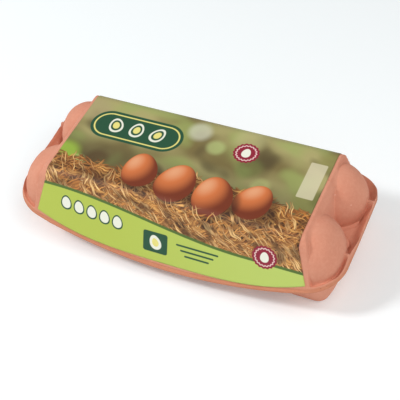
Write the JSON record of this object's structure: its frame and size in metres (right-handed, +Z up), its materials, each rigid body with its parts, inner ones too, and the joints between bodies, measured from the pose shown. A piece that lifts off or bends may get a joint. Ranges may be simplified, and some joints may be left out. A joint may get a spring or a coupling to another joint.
{
  "type": "shut egg carton",
  "caption": "Shut moulded-pulp egg carton: flat-topped lid with a paper label, egg-shaped lobes and a raised belt at each end, a curved front flap and a tray of tapering cups.",
  "frame": {"origin": "centre of the box round the carton, on the surface its cup feet stand on", "axes": "+X along the carton, +Y from the opening flap towards the hinge, +Z up"},
  "size_m": [0.2686, 0.1216, 0.0687],
  "materials": {
    "pulp": "matte, slightly fibrous moulded pulp dyed salmon pink",
    "label_paper": "smooth coated printed paper, satin"
  },
  "bodies": {
    "root": {"carton": "pulp", "label": "label_paper"}
  },
  "joints": []
}
